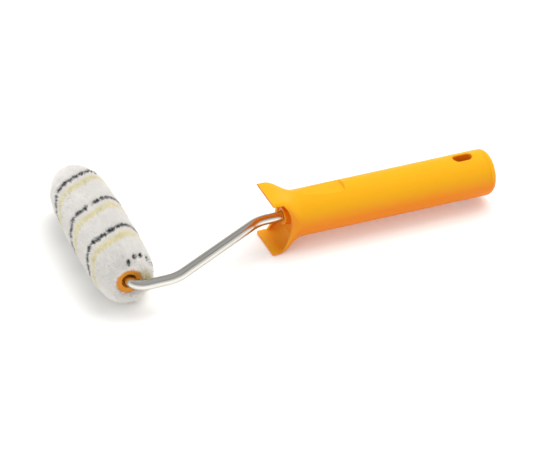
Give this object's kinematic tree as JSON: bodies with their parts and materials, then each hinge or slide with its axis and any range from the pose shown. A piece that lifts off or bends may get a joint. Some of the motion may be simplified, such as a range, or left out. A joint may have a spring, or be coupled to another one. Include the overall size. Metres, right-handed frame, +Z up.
{
  "type": "paint roller",
  "caption": "Small paint roller: bent wire frame, hollow handle with a flared two-wing hook, and a round-ended pile sleeve that spins and pulls off.",
  "frame": {"origin": "on the resting surface, under the middle of the overall length and width", "axes": "+X along the handle towards its butt, +Y along the sleeve's axis towards its pull-off end, +Z up"},
  "size_m": [0.2512, 0.1206, 0.035],
  "materials": {
    "steel_wire": "bright zinc-plated steel wire",
    "handle_plastic": "satin moulded polypropylene, warm yellow-orange",
    "bush_plastic": "moulded polypropylene, orange",
    "core_plastic": "extruded polypropylene, off-white",
    "nylon": "moulded nylon, natural",
    "backing_knit": "knitted polyester base",
    "pile": "cut polyamide pile, off-white with black and pale yellow marker yarns"
  },
  "bodies": {
    "frame": {"frame_rod": "steel_wire", "handle_body": "handle_plastic", "handle_end_cap": "handle_plastic"},
    "retainer": {"snap_bush": "nylon"},
    "sleeve": {"core_tube": "core_plastic", "near_bush": "bush_plastic", "core_end_plug": "bush_plastic", "fabric_backing": "backing_knit", "pile_sleeve": "pile", "bearing_seat": "core_plastic"}
  },
  "joints": [
    {"name": "sleeve_pull_off", "type": "slide", "parent": "frame", "child": "retainer", "axis": [0, 1, 0], "range_m": [0, 0.1], "deforming": ["snap_bush"]},
    {"name": "sleeve_spin", "type": "hinge", "parent": "retainer", "child": "sleeve", "pos_m": [-0.10805, 0, 0.0175], "axis": [0, 1, 0], "continuous": true}
  ]
}
